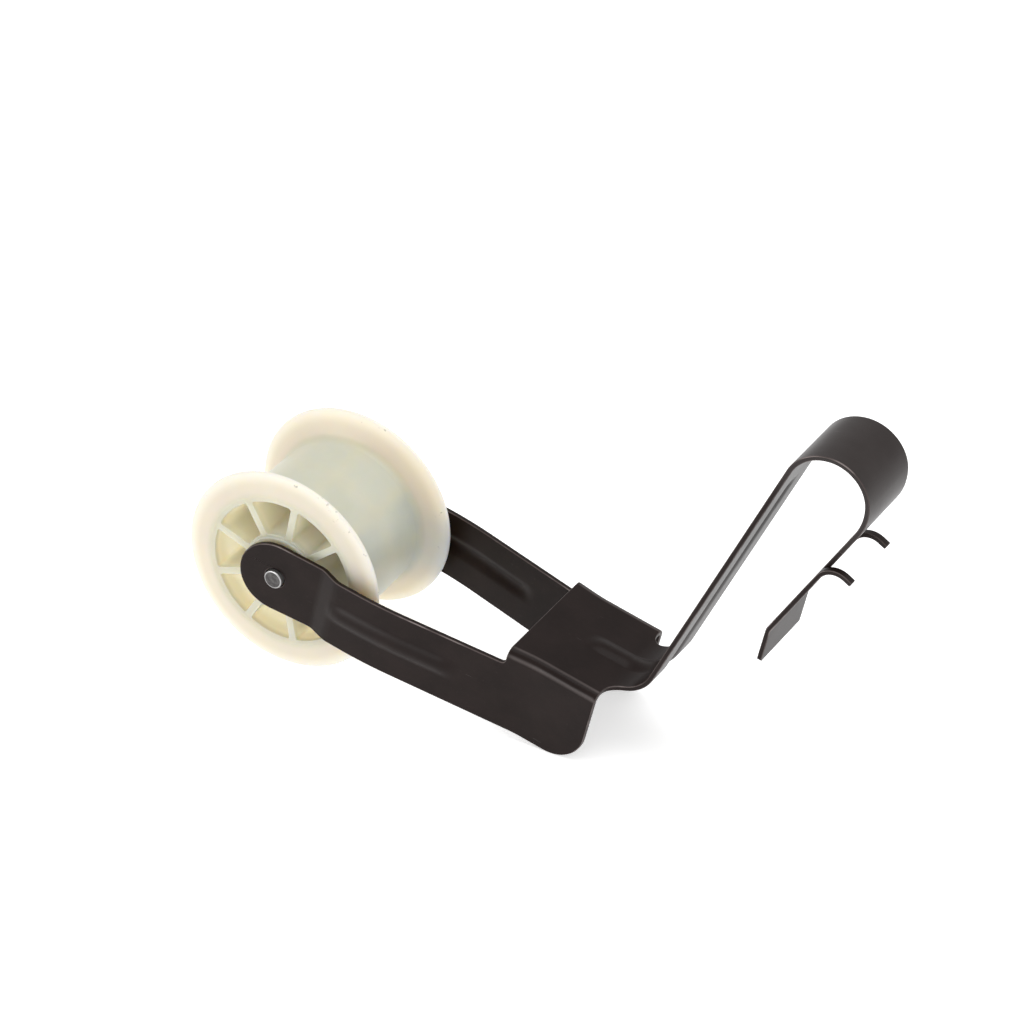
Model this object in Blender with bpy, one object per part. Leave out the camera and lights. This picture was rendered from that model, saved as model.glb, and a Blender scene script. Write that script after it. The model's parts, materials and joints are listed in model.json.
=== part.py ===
"""Belt tensioner idler: a one-piece spring-steel arm, folded from flat sheet, that carries a
flanged spoked nylon wheel on a steel pin.  Units are metres, +Z is up and Y is the wheel's axis.
The arm is one stamping in three nodes, since its hairpin flexes, and the wheel is one moulding in
three nodes, a barrel and two flanged ends, so that the belt's channel stays open to collision.

The arm is drawn as its flat blank, in (run, across): "run" is the length along the blank from the
pin, "across" the distance from its centre line.  Each blank is cut out flat and then folded, so
that every outline, rib and bend is stated once, in the sheet's own lengths."""

import math

import bmesh
import bpy
from mathutils import Vector

# Sheet and strip
SHEET = 0.0016
STRIP_HALF = 0.0127
EDGE_GAP = 0.0003
TIP_CLEARANCE = 0.00045
CUT_MARGIN = 0.0020

# Wheel, bushes and pin
FLANGE_RADIUS = 0.034925
RIM_OFFSET = 0.0215
RIM_HALF = 0.0008
BARREL_RADIUS = 0.0260
BARREL_CROWN = 0.0004
ROOT_OFFSET = 0.0150
ROOT_FILLET = 0.0030
ROOT_FILLET_POINTS = (math.radians(62), math.radians(30))
LAND_INNER_RADIUS = 0.0256
LAND_OFFSET = 0.0234
HUB_RADIUS = 0.0129
HUB_OFFSET = 0.0242
SPOKE_OFFSET = 0.0231
SPOKE_COUNT = 9
SPOKE_FIRST_ANGLE = math.radians(38.0)
SPOKE_HALF = 0.0011
POCKET_RADII = (0.0133, 0.0251)
POCKET_FLOOR = 0.0016
WHEEL_STEPS = 36
PIN_RADIUS = 0.003175
PIN_HALF = 0.0284
PIN_CHAMFER = 0.0004
PIN_STEPS = 24
BUSH_RADIUS = 0.00475
BUSH_LENGTH = 0.0120
BUSH_RECESS = 0.0002
BUSH_CHAMFER = 0.0003

# Fork and saddle, measured along and above the line from the pin to the middle of the heel
LEG_HALF = 0.0120
TIP_RADIUS = 0.0125
TIP_TAPER_END = 0.0200
HEEL_REACH = 0.0996
SADDLE_START = 0.0798
WEB_HEIGHT = 0.0176
WALL_SPREAD = 0.0209
FOLD_RADIUS = 0.0022
CROTCH_FILLET = 0.0035
NECK_FILLET = 0.0050
TIP_SPREAD = 0.0054
TIP_TOE_OUT = -0.076
# Where a leg turns sideways: (run, change of slope, length of the rounding)
LEG_TURNS = ((0.0152, 0.449, 0.0030), (0.0215, -0.373, 0.0030),
             (0.03675, -0.1257, 0.0160), (0.0893, 0.1257, 0.0060))

# Side profile after the saddle: bend angle to the left and radius, and the straight runs
STRIP_BEND = (math.radians(77.5), 0.0135)
STRIP_BEND_START = 0.1105
STRIP_RUN = 0.09944
LOOP_BENDS = ((math.radians(-63.7), 0.0145), (math.radians(-90.0), 0.0127),
              (math.radians(-32.8), 0.0187))
TAIL_RUN = 0.0505
LIP_BEND = (math.radians(19.9), 0.0030)
LIP_RUN = 0.0119

# Ribs pressed into the sheet: half width, half width of the crest, height
RIB_HALF = 0.0042
RIB_CREST = 0.0015
RIB_HEIGHT = 0.0010
RIB_END = 0.0040
LEG_RIB_RUN = (0.0190, 0.0670)
LEG_RIB_RISE = 0.0008
STRIP_RIB_START = 0.0955
STRIP_RIB_STOP = 0.0100

# Prongs of the tail: two tongues freed at its side edges and turned square outwards
PRONG_WIDTH = 0.0024
PRONG_SLOT = 0.0005
PRONG_RADIUS = 0.0062
PRONG_STRAIGHT = 0.0025
PRONG_ROOT = 0.0218
PRONG_REACH = PRONG_RADIUS * math.pi / 2 + PRONG_STRAIGHT
LIP_CORNER = 0.0010

BEND_STEP = math.radians(11.0)
SNAP = 0.0001
WELD = 0.000001
SMOOTH_BELOW = math.radians(35.0)

# The wheel and the heel stand on one level surface, which sets the slope of the fork
LEG_SLOPE = math.asin((FLANGE_RADIUS - LEG_HALF) / HEEL_REACH)
FOLD_START = WALL_SPREAD - FOLD_RADIUS
FOLD_END = FOLD_START + FOLD_RADIUS * math.pi / 2
LEG_AXIS = FOLD_END + WEB_HEIGHT - FOLD_RADIUS
WALL_END = HEEL_REACH + LEG_HALF


def clear_scene():
    for thing in list(bpy.data.objects):
        bpy.data.objects.remove(thing, do_unlink=True)


def material(name, color, roughness, metallic):
    made = bpy.data.materials.new(name)
    made.use_nodes = True
    shader = made.node_tree.nodes["Principled BSDF"]
    shader.inputs["Base Color"].default_value = (*color, 1.0)
    shader.inputs["Roughness"].default_value = roughness
    shader.inputs["Metallic"].default_value = metallic
    return made


def add_object(name, mesh, finish):
    made = bpy.data.objects.new(name, mesh)
    mesh.materials.append(finish)
    bpy.context.scene.collection.objects.link(made)
    return made


def smooth(mesh):
    mesh.shade_smooth()
    mesh.set_sharp_from_angle(angle=SMOOTH_BELOW)


# ---- The side profile: the middle of the sheet, as straight runs and round bends ----

def profile_pieces():
    """(length, bend angle to the left) of each stretch, from above the pin to the end of the lip."""
    pieces = [(STRIP_BEND_START, 0.0), (STRIP_BEND[0] * STRIP_BEND[1], STRIP_BEND[0]),
              (STRIP_RUN, 0.0)]
    pieces += [(abs(angle) * radius, angle) for angle, radius in LOOP_BENDS]
    pieces += [(TAIL_RUN, 0.0), (LIP_BEND[0] * LIP_BEND[1], LIP_BEND[0]), (LIP_RUN, 0.0)]
    return pieces


PIECES = profile_pieces()
MARKS = [sum(length for length, _ in PIECES[:i]) for i in range(len(PIECES) + 1)]
LOOP_START, LOOP_STOP, PROFILE_STOP = MARKS[3], MARKS[6], MARKS[9]


def walk(run):
    """Point in the side plane and heading at a length along the profile."""
    heading = -LEG_SLOPE
    here = WEB_HEIGHT * Vector((math.sin(LEG_SLOPE), math.cos(LEG_SLOPE)))
    left = run
    for length, angle in PIECES:
        step = min(left, length)
        turned = angle * step / length
        chord = step if angle == 0.0 else 2 * length / angle * math.sin(turned / 2)
        middle = heading + turned / 2
        here = here + chord * Vector((math.cos(middle), math.sin(middle)))
        heading += turned
        left -= step
        if left <= 0.0:
            break
    return here, heading


def loop_centre():
    """Centre of the hairpin's tightest bend, in the side plane."""
    point, heading = walk(MARKS[4])
    radius = LOOP_BENDS[1][1]
    return point + radius * Vector((math.sin(heading), -math.cos(heading)))


LOOP_REACH = loop_centre().x + LOOP_BENDS[1][1] + SHEET / 2
AXLE_X = (FLANGE_RADIUS - LOOP_REACH) / 2
AXLE = Vector((AXLE_X, 0.0, FLANGE_RADIUS))


# ---- Folding the blank ----

def soft_corner(x, width):
    """0 before a corner and x after it, rounded over a width."""
    if x <= -width / 2:
        return 0.0
    if x >= width / 2:
        return x
    return (x + width / 2) ** 2 / (2 * width)


def leg_spread(run):
    """How far a leg stands outside its saddle wall."""
    turns = sum(bend * soft_corner(run - at, width) for at, bend, width in LEG_TURNS)
    return TIP_SPREAD + TIP_TOE_OUT * run + turns


def rib(distance, run, start, stop):
    """Height of a pressed rib with rounded flanks and run-out ends."""
    side = min(1.0, max(0.0, (RIB_HALF - abs(distance)) / (RIB_HALF - RIB_CREST)))
    end = min(1.0, max(0.0, min(run - start, stop - run) / RIB_END))
    return RIB_HEIGHT * math.sin(side * math.pi / 2) ** 2 * math.sin(end * math.pi / 2) ** 2


def fold_arm(run, across):
    """A point of the arm's blank, folded: profile along the strip, walls down, legs spread."""
    side = math.copysign(1.0, across)
    out = abs(across)
    if out <= FOLD_START:
        y, drop = out, 0.0
    elif out <= FOLD_END:
        turn = (out - FOLD_START) / FOLD_RADIUS
        y = FOLD_START + FOLD_RADIUS * math.sin(turn)
        drop = FOLD_RADIUS * (1 - math.cos(turn))
    else:
        y, drop = WALL_SPREAD, FOLD_RADIUS + out - FOLD_END
    bent, heading = walk(run)
    straight, level = walk(0.0)
    straight = straight + run * Vector((math.cos(level), math.sin(level)))
    share = min(1.0, max(0.0, (out - STRIP_HALF) / (FOLD_START - STRIP_HALF)))
    place = bent.lerp(straight, share)
    heading = heading * (1 - share) + level * share
    up = Vector((-math.sin(heading), math.cos(heading)))
    if out < RIB_HALF:
        drop -= rib(out, run, STRIP_RIB_START, LOOP_START - STRIP_RIB_STOP)
    place = place - drop * up
    y += leg_spread(run) * y / WALL_SPREAD
    y += rib(out - LEG_AXIS + LEG_RIB_RISE, run, *LEG_RIB_RUN)
    return AXLE + Vector((place.x, side * y, place.y))


def fold_tail(run, across):
    """A point of the tail's blank: the prongs' tongues turn square out of it."""
    side = math.copysign(1.0, across)
    out = abs(across)
    root = LOOP_STOP + PRONG_ROOT
    freed = root - PRONG_REACH - PRONG_SLOT / 2 < run < root
    on_tongue = freed and out > STRIP_HALF - PRONG_WIDTH - PRONG_SLOT / 2
    place, heading = walk(root if on_tongue else run)
    if on_tongue:
        back = -Vector((math.cos(heading), math.sin(heading)))
        outward = Vector((-math.sin(heading), math.cos(heading)))
        along = root - run
        turn = min(along / PRONG_RADIUS, math.pi / 2)
        rest = along - turn * PRONG_RADIUS
        place = place + PRONG_RADIUS * math.sin(turn) * back
        place = place + (PRONG_RADIUS * (1 - math.cos(turn)) + rest) * outward
    return AXLE + Vector((place.x, side * out, place.y))


# ---- Blanks ----

def arc(centre, radius, start, stop, steps):
    """Points of an arc, angles in degrees."""
    angles = [math.radians(start + (stop - start) * i / steps) for i in range(steps + 1)]
    return [(centre[0] + radius * math.cos(a), centre[1] + radius * math.sin(a)) for a in angles]


def arm_half_outline():
    """Edge of the arm's blank on one side, from the strip's upper end round to the crotch."""
    axis = LEG_AXIS
    neck = (WALL_END + NECK_FILLET, STRIP_HALF + NECK_FILLET)
    crotch = (SADDLE_START - CROTCH_FILLET, axis - LEG_HALF - CROTCH_FILLET)
    edge = [(LOOP_START - EDGE_GAP / 2, STRIP_HALF)]
    edge += arc(neck, NECK_FILLET, -90, -180, 5)
    edge += arc((HEEL_REACH, axis), LEG_HALF, 0, 90, 9)
    edge += [(TIP_TAPER_END, axis + LEG_HALF)]
    edge += arc((0.0, axis), TIP_RADIUS, 90, 270, 18)
    edge += [(TIP_TAPER_END, axis - LEG_HALF)]
    edge += arc(crotch, CROTCH_FILLET, 90, 0, 5)
    return edge


def tail_half_outline():
    """Edge of the tail's blank on one side, from the hairpin down to the lip's corner."""
    root = LOOP_STOP + PRONG_ROOT
    tip = root - PRONG_REACH
    inner = STRIP_HALF - PRONG_WIDTH
    return [(LOOP_STOP + EDGE_GAP / 2, STRIP_HALF),
            (tip - PRONG_SLOT, STRIP_HALF), (tip - PRONG_SLOT, inner - PRONG_SLOT),
            (root, inner - PRONG_SLOT), (root, inner), (tip, inner), (tip, STRIP_HALF),
            (PROFILE_STOP - LIP_CORNER, STRIP_HALF), (PROFILE_STOP, STRIP_HALF - LIP_CORNER)]


def both_sides(half):
    return half + [(run, -across) for run, across in reversed(half)]


def cut_blank(outline, run_lines, across_lines):
    """A flat blank, cut into cells by straight lines so that it can bend along them."""
    shape = bmesh.new()
    corners = [shape.verts.new((run, across, 0.0)) for run, across in outline]
    face = shape.faces.new(corners)
    if face.normal.z < 0:
        face.normal_flip()
    for axis, places in ((0, run_lines), (1, across_lines)):
        for place in places:
            point, normal = Vector((0.0, 0.0, 0.0)), Vector((0.0, 0.0, 0.0))
            point[axis], normal[axis] = place, 1.0
            parts = shape.verts[:] + shape.edges[:] + shape.faces[:]
            bmesh.ops.bisect_plane(shape, geom=parts, dist=SNAP, plane_co=point, plane_no=normal)
    return shape


def folded_mesh(name, outline, run_lines, across_lines, fold):
    """The blank, folded through a function of (run, across)."""
    shape = cut_blank(outline, run_lines, across_lines)
    bmesh.ops.triangulate(shape, faces=shape.faces[:])
    for vert in shape.verts:
        vert.co = fold(vert.co.x, vert.co.y)
    bmesh.ops.recalc_face_normals(shape, faces=shape.faces[:])
    mesh = bpy.data.meshes.new(name)
    shape.to_mesh(mesh)
    shape.free()
    return mesh


def give_thickness(sheet):
    solid = sheet.modifiers.new("thickness", "SOLIDIFY")
    solid.thickness = SHEET
    solid.offset = 0.0
    solid.use_even_offset = True
    smooth(sheet.data)


def bend_lines(first, last):
    """Cut lines across each bend of the profile between two of its marks."""
    lines = []
    for index in range(first, last):
        length, angle = PIECES[index]
        steps = max(1, round(abs(angle) / BEND_STEP))
        lines += [MARKS[index] + length * i / steps for i in range(steps + 1)]
    return lines


def rib_lines():
    near = [RIB_CREST, (RIB_CREST + RIB_HALF) / 2, RIB_HALF]
    return sorted([-x for x in near] + near)


def fold_lines():
    steps = [FOLD_START + (FOLD_END - FOLD_START) * i / 4 for i in range(5)]
    leg = [LEG_AXIS - LEG_RIB_RISE + x for x in rib_lines()]
    return steps + leg


def make_arm(finish):
    turns = [at + width * i / 2 for at, _, width in LEG_TURNS for i in (-1, 0, 1)]
    ends = [at + RIB_END * i for at, i in ((LEG_RIB_RUN[0], 0.5), (LEG_RIB_RUN[0], 1),
                                           (LEG_RIB_RUN[1], -1), (LEG_RIB_RUN[1], -0.5),
                                           (STRIP_RIB_START, 0.5), (STRIP_RIB_START, 1))]
    stop = LOOP_START - STRIP_RIB_STOP
    ends += [stop - RIB_END, stop - RIB_END / 2, stop, STRIP_RIB_START, *LEG_RIB_RUN]
    runs = turns + ends + bend_lines(1, 2)
    sides = fold_lines()
    across = rib_lines() + sides + [-x for x in sides]
    mesh = folded_mesh("fork_arm", both_sides(arm_half_outline()), runs, across, fold_arm)
    arm = add_object("fork_arm", mesh, finish)
    give_thickness(arm)
    return arm


def make_hairpin(finish):
    half = [(LOOP_START + EDGE_GAP / 2, STRIP_HALF), (LOOP_STOP - EDGE_GAP / 2, STRIP_HALF)]
    mesh = folded_mesh("hairpin_bend", both_sides(half), bend_lines(3, 6), [0.0], fold_tail)
    hairpin = add_object("hairpin_bend", mesh, finish)
    give_thickness(hairpin)


def make_tail(finish):
    root = LOOP_STOP + PRONG_ROOT
    runs = [root - PRONG_RADIUS * math.pi / 2 * i / 6 for i in range(7)] + bend_lines(7, 8)
    cuts = [STRIP_HALF - PRONG_WIDTH - PRONG_SLOT, STRIP_HALF - PRONG_WIDTH]
    mesh = folded_mesh("tail_clip", both_sides(tail_half_outline()), runs,
                       cuts + [-x for x in cuts], fold_tail)
    tail = add_object("tail_clip", mesh, finish)
    give_thickness(tail)


# ---- Turned pieces ----

def lathe(name, section, steps):
    """A closed section of (radius, y) points, turned about the Y axis."""
    shape = bmesh.new()
    verts = [shape.verts.new((radius, y, 0.0)) for radius, y in section]
    edges = [shape.edges.new((a, b)) for a, b in zip(verts, verts[1:] + verts[:1])]
    bmesh.ops.spin(shape, geom=verts + edges, cent=(0, 0, 0), axis=(0, 1, 0),
                   angle=2 * math.pi, steps=steps, use_merge=True)
    bmesh.ops.remove_doubles(shape, verts=shape.verts[:], dist=WELD)
    on_axis = [edge for edge in shape.edges if not edge.link_faces]
    bmesh.ops.delete(shape, geom=on_axis, context="EDGES")
    bmesh.ops.recalc_face_normals(shape, faces=shape.faces[:])
    mesh = bpy.data.meshes.new(name)
    shape.to_mesh(mesh)
    shape.free()
    smooth(mesh)
    return mesh


def barrel_section():
    """Section of the wheel's barrel, from the bore to the slightly crowned running face."""
    bore, end = BUSH_RADIUS + EDGE_GAP, ROOT_OFFSET - EDGE_GAP / 2
    return [(bore, -end), (BARREL_RADIUS, -end), (BARREL_RADIUS + BARREL_CROWN, 0.0),
            (BARREL_RADIUS, end), (bore, end)]


def end_section():
    """Section of one end of the wheel, from the bore over the hub and the flange to its root."""
    bore, start = BUSH_RADIUS + EDGE_GAP, ROOT_OFFSET + EDGE_GAP / 2
    root = [(BARREL_RADIUS + ROOT_FILLET * (1 - math.cos(a)), ROOT_OFFSET + ROOT_FILLET * math.sin(a))
            for a in ROOT_FILLET_POINTS]
    return [(bore, start), (bore, HUB_OFFSET), (HUB_RADIUS, HUB_OFFSET),
            (HUB_RADIUS, SPOKE_OFFSET), (LAND_INNER_RADIUS, SPOKE_OFFSET),
            (LAND_INNER_RADIUS, LAND_OFFSET), (FLANGE_RADIUS, RIM_OFFSET + RIM_HALF),
            (FLANGE_RADIUS, RIM_OFFSET - RIM_HALF)] + root + [(BARREL_RADIUS, start)]


def pocket_outline(index):
    """Plan of one pocket between two spokes, whose sides are parallel."""
    step = 2 * math.pi / SPOKE_COUNT
    first = SPOKE_FIRST_ANGLE + step * index
    inner, outer = POCKET_RADII
    points = []
    for radius, order, count in ((inner, 1, 1), (outer, -1, 3)):
        lean = math.asin(SPOKE_HALF / radius)
        angles = [first + lean + (step - 2 * lean) * i / count for i in range(count + 1)]
        points += [(radius * math.cos(a), radius * math.sin(a)) for a in angles[::order]]
    return points


def make_pockets(low, high):
    """The nine pockets between two places on the wheel's axis, as one cutter."""
    shape = bmesh.new()
    for index in range(SPOKE_COUNT):
        outline = [shape.verts.new((x, low, z)) for x, z in pocket_outline(index)]
        base = shape.faces.new(outline)
        grown = bmesh.ops.extrude_face_region(shape, geom=[base])
        moved = [part for part in grown["geom"] if isinstance(part, bmesh.types.BMVert)]
        bmesh.ops.translate(shape, verts=moved, vec=(0, high - low, 0))
    bmesh.ops.recalc_face_normals(shape, faces=shape.faces[:])
    mesh = bpy.data.meshes.new("pockets")
    shape.to_mesh(mesh)
    shape.free()
    return mesh


def cut_away(piece, name, mesh, axle):
    """Cuts a shape that is centred on the axle out of a piece."""
    cutter = bpy.data.objects.new(name, mesh)
    bpy.context.scene.collection.objects.link(cutter)
    cutter.parent = axle
    cutter.hide_render = True
    cutter.display_type = "WIRE"
    cut = piece.modifiers.new(name, "BOOLEAN")
    cut.operation = "DIFFERENCE"
    cut.solver = "EXACT"
    cut.object = cutter


def make_barrel(finish, axle):
    mesh = lathe("wheel_barrel", barrel_section(), WHEEL_STEPS)
    barrel = add_object("wheel_barrel", mesh, finish)
    barrel.parent = axle
    for side in (-1, 1):
        pockets = make_pockets(side * POCKET_FLOOR, side * (ROOT_OFFSET + CUT_MARGIN))
        cut_away(barrel, "pockets", pockets, axle)


def make_wheel_end(name, side, finish, axle):
    section = [(radius, side * y) for radius, y in end_section()]
    end = add_object(name, lathe(name, section, WHEEL_STEPS), finish)
    end.parent = axle
    pockets = make_pockets(side * (ROOT_OFFSET - CUT_MARGIN), side * (HUB_OFFSET + CUT_MARGIN))
    cut_away(end, "pockets", pockets, axle)


def make_bush(name, side, finish, axle):
    outer, inner = side * (HUB_OFFSET - BUSH_RECESS), side * (HUB_OFFSET - BUSH_LENGTH)
    bore = PIN_RADIUS + EDGE_GAP
    section = [(bore, outer), (BUSH_RADIUS - BUSH_CHAMFER, outer),
               (BUSH_RADIUS, outer - side * BUSH_CHAMFER), (BUSH_RADIUS, inner), (bore, inner)]
    bush = add_object(name, lathe(name, section, PIN_STEPS), finish)
    bush.parent = axle


def make_pin(finish, axle):
    section = [(0.0, -PIN_HALF), (PIN_RADIUS - PIN_CHAMFER, -PIN_HALF),
               (PIN_RADIUS, PIN_CHAMFER - PIN_HALF), (PIN_RADIUS, PIN_HALF - PIN_CHAMFER),
               (PIN_RADIUS - PIN_CHAMFER, PIN_HALF), (0.0, PIN_HALF)]
    pin = add_object("axle_pin", lathe("axle_pin", section, PIN_STEPS), finish)
    pin.parent = axle


def bore_tips(arm, axle):
    """The pin's holes through both fork tips."""
    radius, reach = PIN_RADIUS + TIP_CLEARANCE, PIN_HALF + CUT_MARGIN
    section = [(0.0, -reach), (radius, -reach), (radius, reach), (0.0, reach)]
    cut_away(arm, "pin_hole", lathe("pin_hole", section, PIN_STEPS), axle)


def main():
    clear_scene()
    steel = material("spring_steel", (0.034, 0.026, 0.024), 0.42, 0.7)
    nylon = material("nylon", (0.84, 0.80, 0.68), 0.45, 0.0)
    bronze = material("bearing_bronze", (0.42, 0.28, 0.13), 0.5, 0.9)
    pin_steel = material("pin_steel", (0.32, 0.31, 0.30), 0.35, 1.0)
    axle = bpy.data.objects.new("axle", None)
    axle.location = AXLE
    bpy.context.scene.collection.objects.link(axle)
    arm = make_arm(steel)
    bore_tips(arm, axle)
    make_hairpin(steel)
    make_tail(steel)
    make_barrel(nylon, axle)
    make_wheel_end("wheel_end_near", -1, nylon, axle)
    make_wheel_end("wheel_end_far", 1, nylon, axle)
    make_bush("hub_bush_near", -1, bronze, axle)
    make_bush("hub_bush_far", 1, bronze, axle)
    make_pin(pin_steel, axle)


main()
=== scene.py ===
# %% [markdown]
# # A belt tensioner idler
# This script builds the looks of a belt tensioner idler: a spring arm folded from one strip of
# steel, and a flanged nylon wheel that runs on a pin between the arm's two fork tips.
# The imported model already says where every part is and how it moves. It is loaded as a fixed
# frame, and each visible piece below is built on it; the wheel, the pin and the bushes are tied to
# its moving bodies.

import json
import math

import bmesh
import bpy
from mathutils import Matrix, Vector


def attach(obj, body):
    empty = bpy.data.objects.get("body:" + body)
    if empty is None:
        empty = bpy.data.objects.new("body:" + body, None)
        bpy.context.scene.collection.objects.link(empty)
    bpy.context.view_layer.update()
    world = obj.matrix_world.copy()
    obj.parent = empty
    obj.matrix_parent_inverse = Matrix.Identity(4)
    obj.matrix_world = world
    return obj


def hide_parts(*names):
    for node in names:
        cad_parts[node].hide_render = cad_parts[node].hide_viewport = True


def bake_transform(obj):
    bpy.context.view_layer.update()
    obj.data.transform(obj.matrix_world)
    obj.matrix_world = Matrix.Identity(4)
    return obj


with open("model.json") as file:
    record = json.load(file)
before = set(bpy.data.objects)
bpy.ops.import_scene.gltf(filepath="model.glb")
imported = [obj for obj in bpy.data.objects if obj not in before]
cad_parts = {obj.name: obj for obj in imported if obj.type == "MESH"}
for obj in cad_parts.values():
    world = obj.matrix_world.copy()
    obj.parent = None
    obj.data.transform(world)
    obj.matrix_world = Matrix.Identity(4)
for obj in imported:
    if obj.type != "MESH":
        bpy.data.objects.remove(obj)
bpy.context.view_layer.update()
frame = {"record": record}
joints = {joint["name"]: joint for joint in frame["record"]["behaviour"]["joints"]}
AXLE = Vector(joints["wheel_spin"]["pos_m"])

# %% [markdown]
# ## Writing shaders as sums
# A material in Blender is a graph of nodes. Wiring a graph by hand hides the arithmetic in it, so
# this small class wraps an output socket and overloads `+`, `-` and `*`: an expression on wrapped
# values adds the Math nodes that work it out. `node` adds any other node in one call.

# %% Shader helpers
MATH_SIGNS = {"add": "ADD", "sub": "SUBTRACT", "mul": "MULTIPLY"}


class Wire:
    """An output socket that can be used in sums."""

    def __init__(self, finish, socket):
        self.finish = finish
        self.socket = socket

    def math(self, operation, *values):
        return self.finish.node("ShaderNodeMath", {"operation": operation}, dict(enumerate(values)))

    def band(self, low, high):
        """0 below low, 1 above high, and a smooth rise between them."""
        settings = {"interpolation_type": "SMOOTHSTEP"}
        values = {"Value": self, "From Min": low, "From Max": high}
        return self.finish.node("ShaderNodeMapRange", settings, values)

    def peak(self, centre, half):
        """1 at the centre, and a smooth fall to 0 on both sides."""
        return self.band(centre - half, centre) - self.band(centre, centre + half)


def overload(name, operation):
    """Gives Wire one arithmetic sign, with the wire on its left or on its right."""
    setattr(Wire, f"__{name}__", lambda self, other: self.math(operation, self, other))
    setattr(Wire, f"__r{name}__", lambda self, other: self.math(operation, other, self))


for sign, math_operation in MATH_SIGNS.items():
    overload(sign, math_operation)
print("signs that make Math nodes:", ", ".join(MATH_SIGNS))


class Finish:
    """A material with one Principled shader, and short ways to add nodes to it."""

    def __init__(self, name, **constants):
        self.material = bpy.data.materials.new(name)
        self.material.use_nodes = True
        self.tree = self.material.node_tree
        self.shader = self.tree.nodes["Principled BSDF"]
        for socket, value in constants.items():
            self.shader.inputs[socket.replace("_", " ")].default_value = value

    def node(self, kind, settings, values, output=0):
        made = self.tree.nodes.new(kind)
        for name, value in settings.items():
            setattr(made, name, value)
        for name, value in values.items():
            if isinstance(value, Wire):
                self.tree.links.new(value.socket, made.inputs[name])
            else:
                made.inputs[name].default_value = value
        return Wire(self, made.outputs[output])

    def place(self, centre=(0.0, 0.0, 0.0), scale=(1.0, 1.0, 1.0)):
        """Object coordinates, measured from a centre and stretched."""
        start = self.node("ShaderNodeTexCoord", {}, {}, "Object")
        moved = self.node("ShaderNodeVectorMath", {"operation": "SUBTRACT"}, {0: start, 1: centre})
        return self.node("ShaderNodeVectorMath", {"operation": "MULTIPLY"}, {0: moved, 1: scale})

    def along_sheet(self, scale):
        """The flat sheet's own coordinates, kept in its UV map, stretched."""
        start = self.node("ShaderNodeTexCoord", {}, {}, "UV")
        return self.node("ShaderNodeVectorMath", {"operation": "MULTIPLY"}, {0: start, 1: scale})

    def noise(self, vector, scale, detail=3.0, roughness=0.55):
        values = {"Vector": vector, "Scale": scale, "Detail": detail, "Roughness": roughness}
        return self.node("ShaderNodeTexNoise", {}, values)

    def split(self, vector):
        made = self.node("ShaderNodeSeparateXYZ", {}, {"Vector": vector})
        return [Wire(self, made.socket.node.outputs[axis]) for axis in range(3)]

    def mix(self, share, first, second):
        """A colour between two colours."""
        made = self.tree.nodes.new("ShaderNodeMix")
        made.data_type = "RGBA"
        sockets = {socket.identifier: socket for socket in made.inputs}
        ends = (("Factor_Float", share), ("A_Color", first), ("B_Color", second))
        for identifier, value in ends:
            if isinstance(value, Wire):
                self.tree.links.new(value.socket, sockets[identifier])
            else:
                sockets[identifier].default_value = value
        outputs = {socket.identifier: socket for socket in made.outputs}
        return Wire(self, outputs["Result_Color"])

    def bump(self, height, distance):
        self.set("Normal", self.node("ShaderNodeBump", {}, {"Distance": distance, "Height": height}))

    def set(self, socket, wire):
        self.tree.links.new(wire.socket, self.shader.inputs[socket])


def grey(level, warmth=0.0):
    """A nearly neutral colour in linear light; warmth leans it towards red-brown."""
    return (level * (1 + warmth), level, level * (1 - 0.2 * warmth), 1.0)


# %% [markdown]
# ## The finishes
# The arm is spring steel with a dark, warm oxide skin that is oiled, so it is nearly black and
# softly shiny. Its skin varies a little in thickness, has fine rolling marks along the strip, and a
# few bright scratches. The pattern reads the flat sheet's own coordinates, so it follows the bends.
# Round the hairpin, from one length along the sheet to another, the skin is painted greyer. Along
# the saddle's two folds, at the distances from the middle line where each fold starts and ends, the
# skin is painted lighter: a painted highlight along each fold.

# %% Oxide-black spring steel
OXIDE_TONE = 0.0085
OXIDE_ROUGHNESS = 0.31
HAIRPIN_RUN = (0.2282, 0.2750)
HAIRPIN_FADE = (0.012, 0.020)
FOLD_HIGHLIGHTS = ((0.0190, 0.0006), (0.0215, 0.0008))
SADDLE_RUN = (0.0785, 0.0830)


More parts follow.
